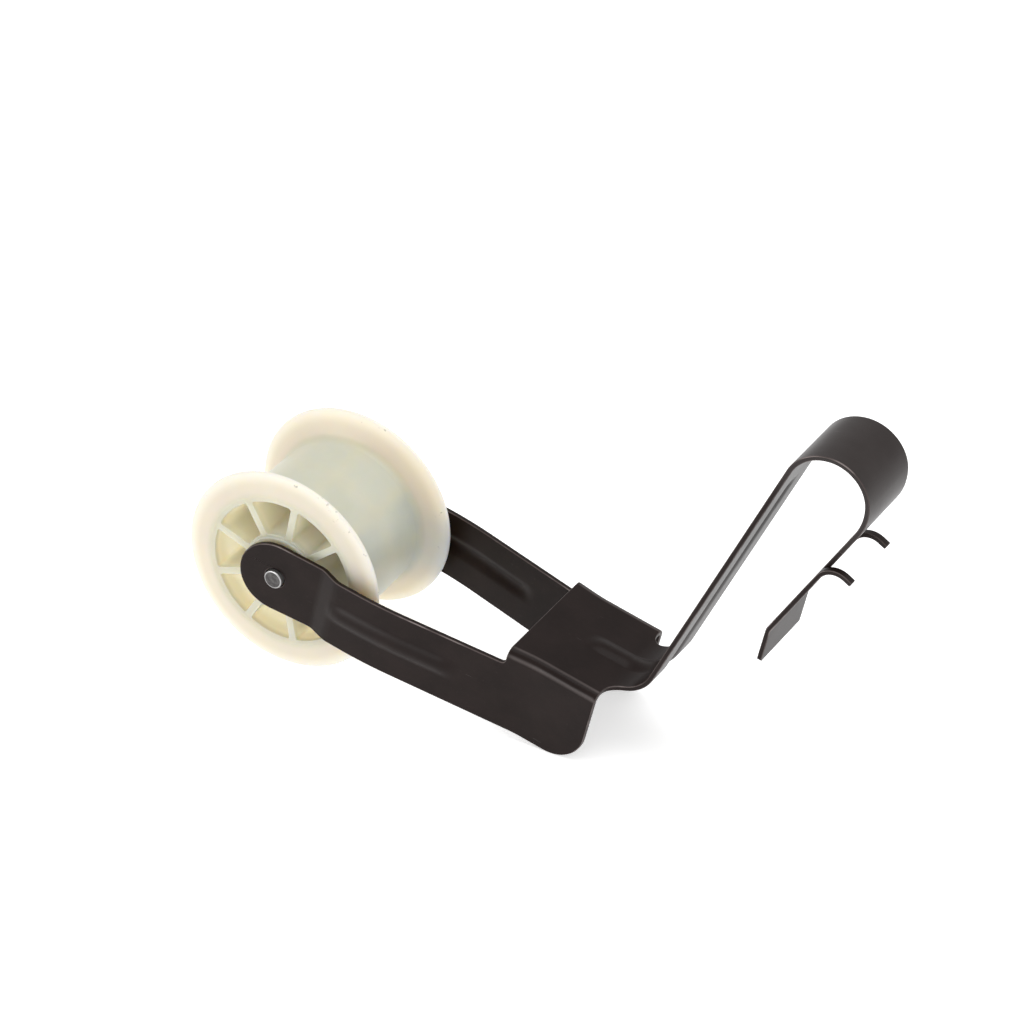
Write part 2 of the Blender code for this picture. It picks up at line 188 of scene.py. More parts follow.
def oxide_steel(name, base, rough):
    """Near-black steel; base is the oxide's brightness."""
    finish = Finish(name, Metallic=0.0, Specular_IOR_Level=0.12)
    run, across, _ = finish.split(finish.along_sheet((1.0, 1.0, 1.0)))
    out = across.math("ABSOLUTE", across)
    start, stop = HAIRPIN_RUN
    # Round the hairpin the skin is painted greyer.
    hairpin_grey = run.band(start - HAIRPIN_FADE[0], start) - run.band(stop, stop + HAIRPIN_FADE[1])
    blotch = finish.noise(finish.along_sheet((60.0, 60.0, 60.0)), 1.3, 4.0)
    grain = finish.noise(finish.along_sheet((180.0, 3200.0, 1.0)), 1.0, 2.0)
    specks = finish.noise(finish.along_sheet((900.0, 900.0, 900.0)), 1.0, 1.0)
    scratch = finish.noise(finish.along_sheet((35.0, 950.0, 1.0)), 1.7, 2.0).band(0.735, 0.775)
    tone = finish.mix(blotch.band(0.3, 0.7), grey(base * 0.82, 0.75), grey(base * 1.18, 0.68))
    tone = finish.mix(specks.band(0.62, 0.80) * 0.35, tone, grey(base * 2.2, 0.45))
    tone = finish.mix(hairpin_grey * (0.45 + blotch * 0.5), tone, grey(0.042, 0.16))
    # Painted highlight: along both saddle folds the skin is painted lighter.
    on_fold = out.peak(*FOLD_HIGHLIGHTS[0]) + out.peak(*FOLD_HIGHLIGHTS[1])
    fold_highlight_and_scuff_zone = on_fold * run.band(*SADDLE_RUN)
    tone = finish.mix(fold_highlight_and_scuff_zone * (0.25 + blotch * 0.5), tone, grey(0.11, 0.20))
    finish.set("Base Color", finish.mix(scratch * 0.45, tone, grey(0.16, 0.05)))
    finish.set("Roughness", rough - 0.05 + blotch * 0.10 + grain * 0.06 - scratch * 0.10)
    finish.bump(grain * 0.35 + specks * 0.35 + blotch * 0.8, 0.00003)
    return finish.material


steel = oxide_steel("oxide_steel", OXIDE_TONE, OXIDE_ROUGHNESS)
print("finish", steel.name)

# %% [markdown]
# The narrow rounded corner between a face and the sheared rim is painted lighter and browner than
# the steel on both sides of it, a painted highlight along every corner of the sheet.

# %% Painted edge highlight
def worn_corner():
    finish = Finish("worn_corner", Metallic=0.5, Specular_IOR_Level=0.5)
    tear = finish.noise(finish.place(scale=(900.0, 900.0, 900.0)), 1.0, 3.0)
    highlight_share = finish.noise(finish.place(scale=(90.0, 90.0, 90.0)), 1.0, 2.0).band(0.45, 0.75)
    # Painted highlight: the rounded corners are painted lighter and browner than the steel.
    finish.set("Base Color", finish.mix(highlight_share, grey(0.045, 0.35), grey(0.17, 0.20)))
    finish.set("Roughness", 0.34 + tear * 0.22)
    finish.bump(tear, 0.00006)
    return finish.material


edge_highlight = worn_corner()
print("finish", edge_highlight.name)

# %% [markdown]
# The wheel is natural nylon: cream, slightly translucent, with a soft moulded skin. Light that
# enters it scatters and comes out warmer, so it has some subsurface scattering. The flanges are
# painted lighter and pinker than the barrel and hub: painted light and painted shade on one nylon.
# Their rims are painted lighter still, a painted glow for light shining through the thin edges. The
# pockets are painted lighter and warmer, as painted light scattered in through their thin walls, and
# their thin outer wall lets a little light through, which a faint glow stands for. The belt polishes
# the barrel, and the rims pick up grey handling marks and scuffs. Each zone is a band of radii, or of
# distances from the middle of the wheel.

# %% Cream nylon
WHEEL_RADIUS = 0.034925
RIM_BAND = (WHEEL_RADIUS - 0.0045, WHEEL_RADIUS - 0.0008)
FLANGE_BAND = (0.0262, 0.0285)
UNPOLISHED_BAND = (0.0268, 0.0285)
LAND_BAND = (0.0250, 0.0256)
THIN_WALL_BAND = (0.0215, 0.0245)
MOUTH_BAND = (0.0205, 0.0229)
NEAR_RIM_BAND = (-0.0215, -0.0190)
SCUFF_START = (0.55, 0.75)
SCUFF_STOP = (1.05, 1.25)
CREAM_BARREL_SHADED = (0.600, 0.590, 0.470, 1.0)
CREAM_FLANGE_LIT = (0.680, 0.635, 0.560, 1.0)
CREAM_CLOUD = (0.77, 0.72, 0.60, 1.0)
CREAM_POCKET_LIT = (0.92, 0.86, 0.70, 1.0)
CREAM_RIM_GLOW = (0.84, 0.765, 0.69, 1.0)
HANDLING_GREY = (0.20, 0.18, 0.17, 1.0)
WALL_GLOW = (0.12, 0.12, 0.115, 1.0)
NO_GLOW = (0.0, 0.0, 0.0, 1.0)


def cream_nylon():
    finish = Finish("cream_nylon", Subsurface_Weight=0.9, Subsurface_Scale=0.011, IOR=1.53,
                    Emission_Strength=1.0)
    finish.shader.inputs["Subsurface Radius"].default_value = (1.0, 0.75, 0.42)
    x, y, z = finish.split(finish.place(tuple(AXLE)))
    radius = x.math("SQRT", x * x + z * z)
    cloud = finish.noise(finish.place(), 55.0, 3.0)
    skin = finish.noise(finish.place(), 2600.0, 2.0)
    marks = finish.noise(finish.place(), 330.0, 2.0, 0.6).band(0.70, 0.77)
    on_rim = radius.band(*RIM_BAND)
    depth = y.math("ABSOLUTE", y)
    in_pocket = (1.0 - radius.band(*LAND_BAND)) * (1.0 - depth.band(*MOUTH_BAND))
    angle = z.math("ARCTAN2", z, x)
    fold_highlight_and_scuff_zone = (angle.band(*SCUFF_START) - angle.band(*SCUFF_STOP)) * (1.0 - y.band(*NEAR_RIM_BAND))
    scuffs = finish.noise(finish.place(scale=(1.0, 0.5, 1.0)), 620.0, 3.0, 0.7).band(0.60, 0.68)
    # Painted light and shade: the flanges are painted lighter and pinker than the barrel and hub.
    cream = finish.mix(radius.band(*FLANGE_BAND), CREAM_BARREL_SHADED, CREAM_FLANGE_LIT)
    cream = finish.mix(cloud.band(0.3, 0.7) * 0.25, cream, CREAM_CLOUD)
    # Painted light: the pockets are painted lighter and warmer than the rest of the nylon.
    cream = finish.mix(in_pocket * 0.6, cream, CREAM_POCKET_LIT)
    # Painted glow: the rims are painted lighter and pinker, for light shining through their thin
    # edges.
    cream = finish.mix(on_rim * 0.8, cream, CREAM_RIM_GLOW)
    cream = finish.mix(scuffs * fold_highlight_and_scuff_zone * on_rim * 0.45, cream, HANDLING_GREY)
    finish.set("Base Color", finish.mix(marks * on_rim * 0.55, cream, HANDLING_GREY))
    through = in_pocket * radius.band(*THIN_WALL_BAND)
    finish.set("Emission Color", finish.mix(through, NO_GLOW, WALL_GLOW))
    belt_polish = 1.0 - radius.band(*UNPOLISHED_BAND)
    finish.set("Roughness", 0.42 + skin * 0.10 - belt_polish * 0.06)
    finish.bump(skin * 0.3 + cloud * 0.7, 0.00005)
    return finish.material


nylon = cream_nylon()
print("finish", nylon.name, "for a wheel of radius", WHEEL_RADIUS, "m")

# %% [markdown]
# The pin is a turned steel rod with a darker face and a chamfer that the lathe left bright. The
# two bushes are sintered bronze, which is full of tiny oil-filled pores.

# %% Pin steel and bronze
CHAMFER_BAND = (0.00262, 0.00285)
LATHE_RINGS = 9000.0
DARK_BRONZE = (0.20, 0.12, 0.06, 1.0)
LIGHT_BRONZE = (0.36, 0.22, 0.10, 1.0)


def turned_steel():
    finish = Finish("turned_steel", Metallic=0.9)
    x, _, z = finish.split(finish.place(tuple(AXLE)))
    radius = x.math("SQRT", x * x + z * z)
    rings = radius.math("SINE", radius * LATHE_RINGS)
    stain = finish.noise(finish.place(), 700.0, 3.0)
    bright = radius.band(*CHAMFER_BAND)
    face = finish.mix(stain.band(0.35, 0.7), grey(0.055, 0.06), grey(0.105, 0.04))
    finish.set("Base Color", finish.mix(bright, face, grey(0.42, 0.01)))
    finish.set("Roughness", 0.42 + stain * 0.12 - bright * 0.16)
    finish.bump(rings * 0.5 + stain, 0.00002)
    return finish.material


def sintered_bronze():
    finish = Finish("sintered_bronze", Metallic=0.8)
    pores = finish.noise(finish.place(), 3200.0, 2.0)
    finish.set("Base Color", finish.mix(pores.band(0.4, 0.7), LIGHT_BRONZE, DARK_BRONZE))
    finish.set("Roughness", 0.45 + pores * 0.2)
    finish.bump(pores, 0.00005)
    return finish.material


pin_finish = turned_steel()
bronze = sintered_bronze()
print("finishes", [finish.name for finish in (steel, edge_highlight, nylon, pin_finish, bronze)])

# %% [markdown]
# ## The arm, from its flat blank
# On the real part, a press cuts a flat blank from a coil of spring steel, and folds it. The script
# does the same, because an outline, a rib and a bend are each easy to state on the flat sheet.
# A place on the sheet is (run, across): the length along it from above the pin, and the distance
# from its middle line. First come the sizes of the bends.

# %% Sizes of the sheet and its bends
SHEET = 0.0016
STRIP_HALF = 0.0127
LEG_HALF = 0.0120
TIP_RADIUS = 0.0125
TIP_TAPER_END = 0.0200
HEEL_REACH = 0.0996
SADDLE_START = 0.0802
WEB_HEIGHT = 0.0176
WALL_SPREAD = 0.0209
FOLD_RADIUS = 0.0022
CROTCH_FILLET = 0.0015
CROTCH_RISE = 0.0007
NECK_FILLET = 0.0050
TIP_SPREAD = 0.0054
TIP_TOE_OUT = -0.076
LEG_TURNS = ((0.0152, 0.449, 0.0030), (0.0215, -0.373, 0.0030),
             (0.03675, -0.1257, 0.0160), (0.0893, 0.1257, 0.0060))
STRIP_BEND = (math.radians(77.5), 0.0135)
STRIP_BEND_START = 0.1105
STRIP_RUN = 0.09944
LOOP_BENDS = ((math.radians(-63.7), 0.0145), (math.radians(-90.0), 0.0127),
              (math.radians(-32.8), 0.0187))
TAIL_RUN = 0.0505
LIP_BEND = (math.radians(19.9), 0.0030)
LIP_RUN = 0.0119

LEG_SLOPE = math.asin((WHEEL_RADIUS - LEG_HALF) / HEEL_REACH)
FOLD_START = WALL_SPREAD - FOLD_RADIUS
FOLD_END = FOLD_START + FOLD_RADIUS * math.pi / 2
LEG_AXIS = FOLD_END + WEB_HEIGHT - FOLD_RADIUS
WALL_END = HEEL_REACH + LEG_HALF

PIECES = [(STRIP_BEND_START, 0.0), (STRIP_BEND[0] * STRIP_BEND[1], STRIP_BEND[0]),
          (STRIP_RUN, 0.0)]
PIECES += [(abs(angle) * radius, angle) for angle, radius in LOOP_BENDS]
PIECES += [(TAIL_RUN, 0.0), (LIP_BEND[0] * LIP_BEND[1], LIP_BEND[0]), (LIP_RUN, 0.0)]
MARKS = [sum(length for length, _ in PIECES[:i]) for i in range(len(PIECES) + 1)]
LOOP_START, LOOP_STOP, PROFILE_STOP = MARKS[3], MARKS[6], MARKS[9]
print("length of the strip's middle line", round(PROFILE_STOP, 4), "m")

# %% [markdown]
# `walk` follows the side profile like a turtle: straight stretches and round bends, each a length
# and an angle. It is the middle of the sheet, so the sheet grows half its thickness to each side.

# %% Walk along the side profile
def walk(run):
    """Point in the side plane, seen from the axle, and heading at a length along the profile."""
    heading = -LEG_SLOPE
    here = WEB_HEIGHT * Vector((math.sin(LEG_SLOPE), math.cos(LEG_SLOPE)))
    left = run
    for length, angle in PIECES:
        step = min(left, length)
        turned = angle * step / length
        chord = step if angle == 0.0 else 2 * length / angle * math.sin(turned / 2)
        middle = heading + turned / 2
        here = here + chord * Vector((math.cos(middle), math.sin(middle)))
        heading += turned
        left -= step
        if left <= 0.0:
            break
    return here, heading


print("end of the lip, seen from the axle", tuple(walk(PROFILE_STOP)[0]))

# %% [markdown]
# The two legs stand further apart at the wheel than at the saddle. Each turns sideways a little at
# four places, and `soft_corner` rounds those turns. A pressed rib stiffens each leg, and another
# runs through the saddle and up the strip; `rib` gives its height over the sheet.

# %% Spread of the legs, and the ribs
RIB_HALF = 0.0042
RIB_CREST = 0.0004
RIB_HEIGHT = 0.0011
RIB_END = 0.0070
LEG_RIB_RUN = (0.0190, 0.0670)
LEG_RIB_RISE = 0.0008
STRIP_RIB_RUN = (0.0955, LOOP_START - 0.0100)


def soft_corner(x, width):
    """0 before a corner and x after it, rounded over a width."""
    if x <= -width / 2:
        return 0.0
    if x >= width / 2:
        return x
    return (x + width / 2) ** 2 / (2 * width)


def leg_spread(run):
    turns = sum(bend * soft_corner(run - at, width) for at, bend, width in LEG_TURNS)
    return TIP_SPREAD + TIP_TOE_OUT * run + turns


def rib(distance, run, start, stop):
    side = min(1.0, max(0.0, (RIB_HALF - abs(distance)) / (RIB_HALF - RIB_CREST)))
    end = min(1.0, max(0.0, min(run - start, stop - run) / RIB_END))
    return RIB_HEIGHT * math.sin(side * math.pi / 2) ** 2 * math.sin(end * math.pi / 2) ** 2


print("a leg stands", round(leg_spread(0.0), 4), "m outside its saddle wall at the pin")

# %% [markdown]
# `fold_arm` is the press: it takes a place on the flat sheet and returns it folded. The middle of
# the sheet follows the profile, the parts further out turn down into the saddle's walls, and the
# legs spread. `fold_tail` does the same past the hairpin, where two narrow tongues are freed from
# the tail's edges and turned square outwards as prongs. They hook the part to its machine.

# %% Fold the sheet
PRONG_WIDTH = 0.0024
PRONG_SLOT = 0.0005
PRONG_RADIUS = 0.0062
PRONG_ROOT = LOOP_STOP + 0.0218
PRONG_TIP = PRONG_ROOT - PRONG_RADIUS * math.pi / 2 - 0.0025


def fold_arm(run, across):
    side = math.copysign(1.0, across)
    out = abs(across)
    if out <= FOLD_START:
        y, drop = out, 0.0
    elif out <= FOLD_END:
        turn = (out - FOLD_START) / FOLD_RADIUS
        y = FOLD_START + FOLD_RADIUS * math.sin(turn)
        drop = FOLD_RADIUS * (1 - math.cos(turn))
    else:
        y, drop = WALL_SPREAD, FOLD_RADIUS + out - FOLD_END
    bent, heading = walk(run)
    straight, level = walk(0.0)
    straight = straight + run * Vector((math.cos(level), math.sin(level)))
    share = min(1.0, max(0.0, (out - STRIP_HALF) / (FOLD_START - STRIP_HALF)))
    place = bent.lerp(straight, share)
    heading = heading * (1 - share) + level * share
    up = Vector((-math.sin(heading), math.cos(heading)))
    if out < RIB_HALF:
        drop -= rib(out, run, *STRIP_RIB_RUN)
    place = place - drop * up
    y += leg_spread(run) * y / WALL_SPREAD
    y += rib(out - LEG_AXIS + LEG_RIB_RISE, run, *LEG_RIB_RUN)
    return AXLE + Vector((place.x, side * y, place.y))


def fold_tail(run, across):
    side = math.copysign(1.0, across)
    out = abs(across)
    freed = PRONG_TIP - PRONG_SLOT / 2 < run < PRONG_ROOT
    on_tongue = freed and out > STRIP_HALF - PRONG_WIDTH - PRONG_SLOT / 2
    place, heading = walk(PRONG_ROOT if on_tongue else run)
    if on_tongue:
        back = -Vector((math.cos(heading), math.sin(heading)))
        outward = Vector((-math.sin(heading), math.cos(heading)))
        turn = min((PRONG_ROOT - run) / PRONG_RADIUS, math.pi / 2)
        rest = PRONG_ROOT - run - turn * PRONG_RADIUS
        place = place + PRONG_RADIUS * math.sin(turn) * back
        place = place + (PRONG_RADIUS * (1 - math.cos(turn)) + rest) * outward
    return AXLE + Vector((place.x, side * out, place.y))


def fold(run, across):
    return fold_arm(run, across) if run < LOOP_START else fold_tail(run, across)


print("the pin's hole is folded to", tuple(fold(0.0, LEG_AXIS)))

# %% [markdown]
# The blank's outline needs few points: straight edges need none between their ends, and each round
# corner is an arc. Only one side is stated, and the other is its mirror image.

# %% Outline of the blank
LIP_CORNER = 0.0010


def arc(centre, radius, start, stop, steps):
    """Points of an arc, angles in degrees."""
    angles = [math.radians(start + (stop - start) * i / steps) for i in range(steps + 1)]
    return [(centre[0] + radius * math.cos(a), centre[1] + radius * math.sin(a)) for a in angles]


def half_outline():
    inner = STRIP_HALF - PRONG_WIDTH
    neck = (WALL_END + NECK_FILLET, STRIP_HALF + NECK_FILLET)
    crotch = (SADDLE_START - CROTCH_FILLET, LEG_AXIS - LEG_HALF - CROTCH_RISE - CROTCH_FILLET)
    edge = arc((PROFILE_STOP - LIP_CORNER, STRIP_HALF - LIP_CORNER), LIP_CORNER, 0, 90, 4)
    edge += [(PRONG_TIP, STRIP_HALF), (PRONG_TIP, inner), (PRONG_ROOT, inner),
             (PRONG_ROOT, inner - PRONG_SLOT), (PRONG_TIP - PRONG_SLOT, inner - PRONG_SLOT),
             (PRONG_TIP - PRONG_SLOT, STRIP_HALF)]
    edge += arc(neck, NECK_FILLET, -90, -180, 8)
    edge += arc((HEEL_REACH, LEG_AXIS), LEG_HALF, 0, 90, 18)
    edge += [(TIP_TAPER_END, LEG_AXIS + LEG_HALF)]
    edge += arc((0.0, LEG_AXIS), TIP_RADIUS, 90, 270, 40)
    edge += [(TIP_TAPER_END, LEG_AXIS - LEG_HALF)]
    edge += arc(crotch, CROTCH_FILLET, 90, 0, 8)
    return edge


print("half of the blank's outline has", len(half_outline()), "points")

# %% [markdown]
# A flat polygon can only bend where it has edges. `bisect_plane` rules lines across it: many where
# the sheet bends tightly, none where it stays flat, and never two closer than SNAP. The flat place
# of each corner is kept in a UV map, so that the finish can follow the sheet.

# %% Lines to bend along
BEND_STEP = math.radians(4.5)
SNAP = 0.0003


def spread_lines(start, stop, count):
    return [start + (stop - start) * i / count for i in range(count + 1)]


def well_apart(lines):
    """The lines in order, without those closer than SNAP to the one before."""
    kept = []
    for line in sorted(lines):
        if not kept or line - kept[-1] > SNAP:
            kept.append(line)
    return kept


def run_lines():
    lines = []
    for index, (length, angle) in enumerate(PIECES):
        if angle:
            count = max(3, round(abs(angle) / BEND_STEP))
            lines += spread_lines(MARKS[index], MARKS[index + 1], count)
    for at, _, width in LEG_TURNS:
        lines += spread_lines(at - width / 2, at + width / 2, 6)
    for start, stop in (LEG_RIB_RUN, STRIP_RIB_RUN):
        lines += spread_lines(start, start + RIB_END, 5)
        lines += spread_lines(stop - RIB_END, stop, 5)
    lines += spread_lines(PRONG_ROOT - PRONG_RADIUS * math.pi / 2, PRONG_ROOT, 12)
    return well_apart(lines)


def across_lines():
    flank = spread_lines(RIB_CREST, RIB_HALF, 4)
    ribs = [-x for x in flank] + flank
    sides = spread_lines(FOLD_START, FOLD_END, 8) + [LEG_AXIS - LEG_RIB_RISE + x for x in ribs]
    return well_apart(ribs + sides + [-x for x in sides])


def cut_and_fold(name):
    """The folded middle surface of the whole sheet."""
    shape = bmesh.new()
    half = half_outline()
    outline = half + [(run, -across) for run, across in reversed(half)]
    face = shape.faces.new([shape.verts.new((run, across, 0.0)) for run, across in outline])
    if face.normal.z < 0:
        face.normal_flip()
    for axis, places in ((0, run_lines()), (1, across_lines())):
        for place in places:
            point, normal = Vector((0.0, 0.0, 0.0)), Vector((0.0, 0.0, 0.0))
            point[axis], normal[axis] = place, 1.0
            parts = shape.verts[:] + shape.edges[:] + shape.faces[:]
            bmesh.ops.bisect_plane(shape, geom=parts, dist=SNAP, plane_co=point, plane_no=normal)
    bmesh.ops.triangulate(shape, faces=shape.faces[:])
    flat = shape.loops.layers.uv.new("flat")
    for face in shape.faces:
        for corner in face.loops:
            corner[flat].uv = corner.vert.co.xy
    for vert in shape.verts:
        vert.co = fold(vert.co.x, vert.co.y)
    bmesh.ops.recalc_face_normals(shape, faces=shape.faces[:])
    mesh = bpy.data.meshes.new(name)
    shape.to_mesh(mesh)
    shape.free()
    return mesh


print("bend lines:", len(run_lines()), "across the strip and", len(across_lines()), "along it")

# %% [markdown]
# The middle surface becomes sheet metal with three modifiers: Solidify gives it its thickness, a
# Boolean bores the pin's holes, and Bevel breaks the sharp rims as tumbling does, and gives those
# corners the lighter finish that paints a highlight along each edge. Weighted Normal then keeps the
# flat faces flat in the shading. `applied` turns the result into a plain mesh.

# %% Helpers for pieces
def add_object(name, mesh, *finishes):
    made = bpy.data.objects.new(name, mesh)
    for finish in finishes:
        mesh.materials.append(finish)
    bpy.context.scene.collection.objects.link(made)
    return made


def applied(piece):
    """The piece with its modifiers worked into a plain mesh."""
    graph = bpy.context.evaluated_depsgraph_get()
    graph.update()
    mesh = bpy.data.meshes.new_from_object(piece.evaluated_get(graph))
    mesh.name = piece.name
    piece.modifiers.clear()
    piece.data = mesh
    return piece


def modifier(piece, kind, **settings):
    made = piece.modifiers.new(kind.lower(), kind)
    for name, value in settings.items():
        setattr(made, name, value)
    return made


def even_shading(piece):
    """Lets the large faces of a smooth piece rule its shading."""
    return modifier(piece, "WEIGHTED_NORMAL", keep_sharp=True, weight=80)


def round_bar(name, radius, half_length, steps):
    """A closed cylinder along Y through the axle, used to bore holes."""
    shape = bmesh.new()
    turn = Matrix.Rotation(math.pi / 2, 4, "X")
    bmesh.ops.create_cone(shape, cap_ends=True, segments=steps, radius1=radius, radius2=radius,
                          depth=2 * half_length, matrix=Matrix.Translation(AXLE) @ turn)
    mesh = bpy.data.meshes.new(name)
    shape.to_mesh(mesh)
    shape.free()
    return add_object(name, mesh)


# %% Make the arm
HOLE_RADIUS = 0.00345
HOLE_STEPS = 64
DRILL_REACH = 0.05
RIM_ROUND = 0.00028
RIM_ANGLE = math.radians(50)


def make_arm():
    arm = add_object("spring_arm", cut_and_fold("spring_arm"), steel, edge_highlight)
    modifier(arm, "SOLIDIFY", thickness=SHEET, offset=0.0, use_even_offset=True)
    drill = round_bar("pin_drill", HOLE_RADIUS, DRILL_REACH, HOLE_STEPS)
    modifier(arm, "BOOLEAN", operation="DIFFERENCE", solver="EXACT", object=drill)
    modifier(arm, "BEVEL", width=RIM_ROUND, segments=2, limit_method="ANGLE",
             angle_limit=RIM_ANGLE, material=1, use_clamp_overlap=False)
    even_shading(arm)
    arm.data.shade_smooth()
    applied(arm)
    bpy.data.objects.remove(drill)
    return arm


arm = make_arm()
print("spring_arm", len(arm.data.polygons), "faces")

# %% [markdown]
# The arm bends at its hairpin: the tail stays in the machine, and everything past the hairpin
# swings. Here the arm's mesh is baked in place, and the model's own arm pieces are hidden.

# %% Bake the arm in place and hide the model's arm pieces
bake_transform(arm)
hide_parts("fork_arm", "hairpin_bend", "tail_clip")

# %% [markdown]
# ## The wheel
# The wheel is one moulding. Its outside is round, so one section turned about the axle makes it.
# Both of its ends are hollowed into nine pockets, which leaves nine spokes, and pockets that repeat
# by a rule are work for Geometry Nodes. First come the section's sizes: radii from the axle, and
# planes at a distance from the middle of the wheel.

# %% Sizes of the wheel
FLANGE_PLANE = 0.0215
BARREL_RADIUS = 0.0260
BARREL_CROWN = 0.0004
BARREL_END = 0.0150
BARREL_FILLET = 0.0030
LAND_RADIUS = 0.0256
LAND_PLANE = 0.0234
SPOKE_PLANE = 0.0231
HUB_RADIUS = 0.0129
HUB_PLANE = 0.0242
BORE_RADIUS = 0.00505
BORE_CHAMFER = 0.0005
HUB_ROUND = 0.0004
HUB_ROOT = 0.0003
LAND_LIP = 0.0002
LAND_ROUND = 0.0010
RIM_HALF = 0.0009
SPOKE_COUNT = 9
SPOKE_HALF = 0.0011
SPOKE_FIRST = math.radians(38.0)
POCKET_RADII = (0.0133, 0.0251)
POCKET_FLOOR = 0.0016
POCKET_CORNER = 0.0009
TURNING_STEPS = 144


def wheel_half_section():
    """(radius, y) points from the bore's mouth over the flange to the middle of the barrel."""
    edge = [(BORE_RADIUS, HUB_PLANE - BORE_CHAMFER), (BORE_RADIUS + BORE_CHAMFER, HUB_PLANE)]
    edge += arc((HUB_RADIUS - HUB_ROUND, HUB_PLANE - HUB_ROUND), HUB_ROUND, 90, 0, 4)
    edge += arc((HUB_RADIUS + HUB_ROOT, SPOKE_PLANE + HUB_ROOT), HUB_ROOT, 180, 270, 3)
    edge += [(LAND_RADIUS - LAND_LIP, SPOKE_PLANE)]
    edge += arc((LAND_RADIUS + LAND_ROUND, LAND_PLANE - LAND_ROUND), LAND_ROUND, 120, 80, 4)
    edge += arc((WHEEL_RADIUS - RIM_HALF, FLANGE_PLANE), RIM_HALF, 72, -66, 9)
    edge += arc((BARREL_RADIUS + BARREL_FILLET, BARREL_END), BARREL_FILLET, 114, 180, 8)
    for share in (0.8, 0.6, 0.4, 0.2):
        edge += [(BARREL_RADIUS + BARREL_CROWN * (1 - share * share), BARREL_END * share)]
    return edge


print("half of the wheel's section has", len(wheel_half_section()), "points")

# %% [markdown]
# One pocket is a wedge between two spokes whose sides are parallel. Its upright corners are
# rounded, because a mould can't be cut with sharp ones, and it narrows a little towards its floor
# so that the wheel can leave the mould.

# %% One pocket
POCKET_DRAFT = 0.93
POCKET_OVERRUN = 0.0040
FLOOR_ROUND = 0.0006
WELD = 1e-6
SAME_ANGLE = 1e-4


def is_pocket_corner(place):
    radius = math.hypot(place.x, place.z)
    angle = math.atan2(place.z, place.x)
    lean = math.asin(SPOKE_HALF / radius)
    return min(abs(angle - lean), abs(angle - 2 * math.pi / SPOKE_COUNT + lean)) < SAME_ANGLE


def pocket_mesh():
    step = 2 * math.pi / SPOKE_COUNT
    points = []
    for radius, order, count in ((POCKET_RADII[0], 1, 4), (POCKET_RADII[1], -1, 10)):
        lean = math.asin(SPOKE_HALF / radius)
        angles = [lean + (step - 2 * lean) * i / count for i in range(count + 1)]
        points += [(radius * math.cos(a), radius * math.sin(a)) for a in angles[::order]]
    shape = bmesh.new()
    top = SPOKE_PLANE + POCKET_OVERRUN
    mouth = shape.faces.new([shape.verts.new((x, top, z)) for x, z in points])
    corners = [vert for vert in mouth.verts if is_pocket_corner(vert.co)]
    grown = bmesh.ops.extrude_face_region(shape, geom=[mouth])
    moved = [part for part in grown["geom"] if isinstance(part, bmesh.types.BMVert)]
    centre = sum((vert.co for vert in moved), Vector()) / len(moved)
    for vert in moved:
        vert.co = centre + (vert.co - centre) * POCKET_DRAFT
        vert.co.y = POCKET_FLOOR
    uprights = [edge for corner in corners for edge in corner.link_edges
                if abs(edge.verts[0].co.y - edge.verts[1].co.y) > POCKET_FLOOR]
    bmesh.ops.bevel(shape, geom=uprights, offset=POCKET_CORNER, segments=4, affect="EDGES",
                    profile=0.5)
    floor = [edge for edge in shape.edges
             if all(abs(vert.co.y - POCKET_FLOOR) < WELD for vert in edge.verts)]
    bmesh.ops.bevel(shape, geom=floor, offset=FLOOR_ROUND, segments=3, affect="EDGES", profile=0.5)
    bmesh.ops.recalc_face_normals(shape, faces=shape.faces[:])
    mesh = bpy.data.meshes.new("pocket")
    shape.to_mesh(mesh)
    shape.free()
    return mesh


pocket_shape = pocket_mesh()
print("pocket", len(pocket_shape.polygons), "faces")

# %% [markdown]
# A small helper builds Geometry Nodes trees. A tree's inputs are declared by name, and each node is
# added with its settings and links in one call, as for the shaders.

# %% Geometry Nodes helper
class Tree:
    """A Geometry Nodes tree under construction."""

    def __init__(self, name, **inputs):
        self.tree = bpy.data.node_groups.new(name, "GeometryNodeTree")
        face = self.tree.interface
        face.new_socket("Geometry", in_out="INPUT", socket_type="NodeSocketGeometry")
        face.new_socket("Geometry", in_out="OUTPUT", socket_type="NodeSocketGeometry")
        self.identifiers = {}
        for label, (kind, value) in inputs.items():
            socket = face.new_socket(label, in_out="INPUT", socket_type="NodeSocket" + kind)
            self.identifiers[socket.identifier] = value
        self.start = self.tree.nodes.new("NodeGroupInput")

    def node(self, kind, settings=None, links=None):
        made = self.tree.nodes.new(kind)
        for name, value in (settings or {}).items():
            setattr(made, name, value)
        for name, value in (links or {}).items():
            if isinstance(value, bpy.types.NodeSocket):
                self.tree.links.new(value, made.inputs[name])
            else:
                made.inputs[name].default_value = value
        return made

    def math(self, operation, first, second):
        return self.node("ShaderNodeMath", {"operation": operation}, {0: first, 1: second}).outputs[0]

    def finish(self, piece, geometry):
        """Ends the tree, runs it on the piece and leaves a plain mesh."""
        real = self.node("GeometryNodeRealizeInstances", {}, {"Geometry": geometry}).outputs[0]
        coated = self.node("GeometryNodeSetMaterial", {},
                           {"Geometry": real, "Material": self.start.outputs["Finish"]}).outputs[0]
        end = self.tree.nodes.new("NodeGroupOutput")
        self.tree.links.new(coated, end.inputs[0])
        made = piece.modifiers.new(self.tree.name, "NODES")
        made.node_group = self.tree
        for identifier, value in self.identifiers.items():
            made[identifier] = value
        return made


print("helper", Tree.__name__, "is ready")

# %% [markdown]
# `lathe_mesh` spins a section about the Y axis, as a lathe turns its work. Points that meet are
# merged, an edge that only lies on the axis is dropped, and the normals are worked out afresh,
# because a spin can turn a shape inside out.

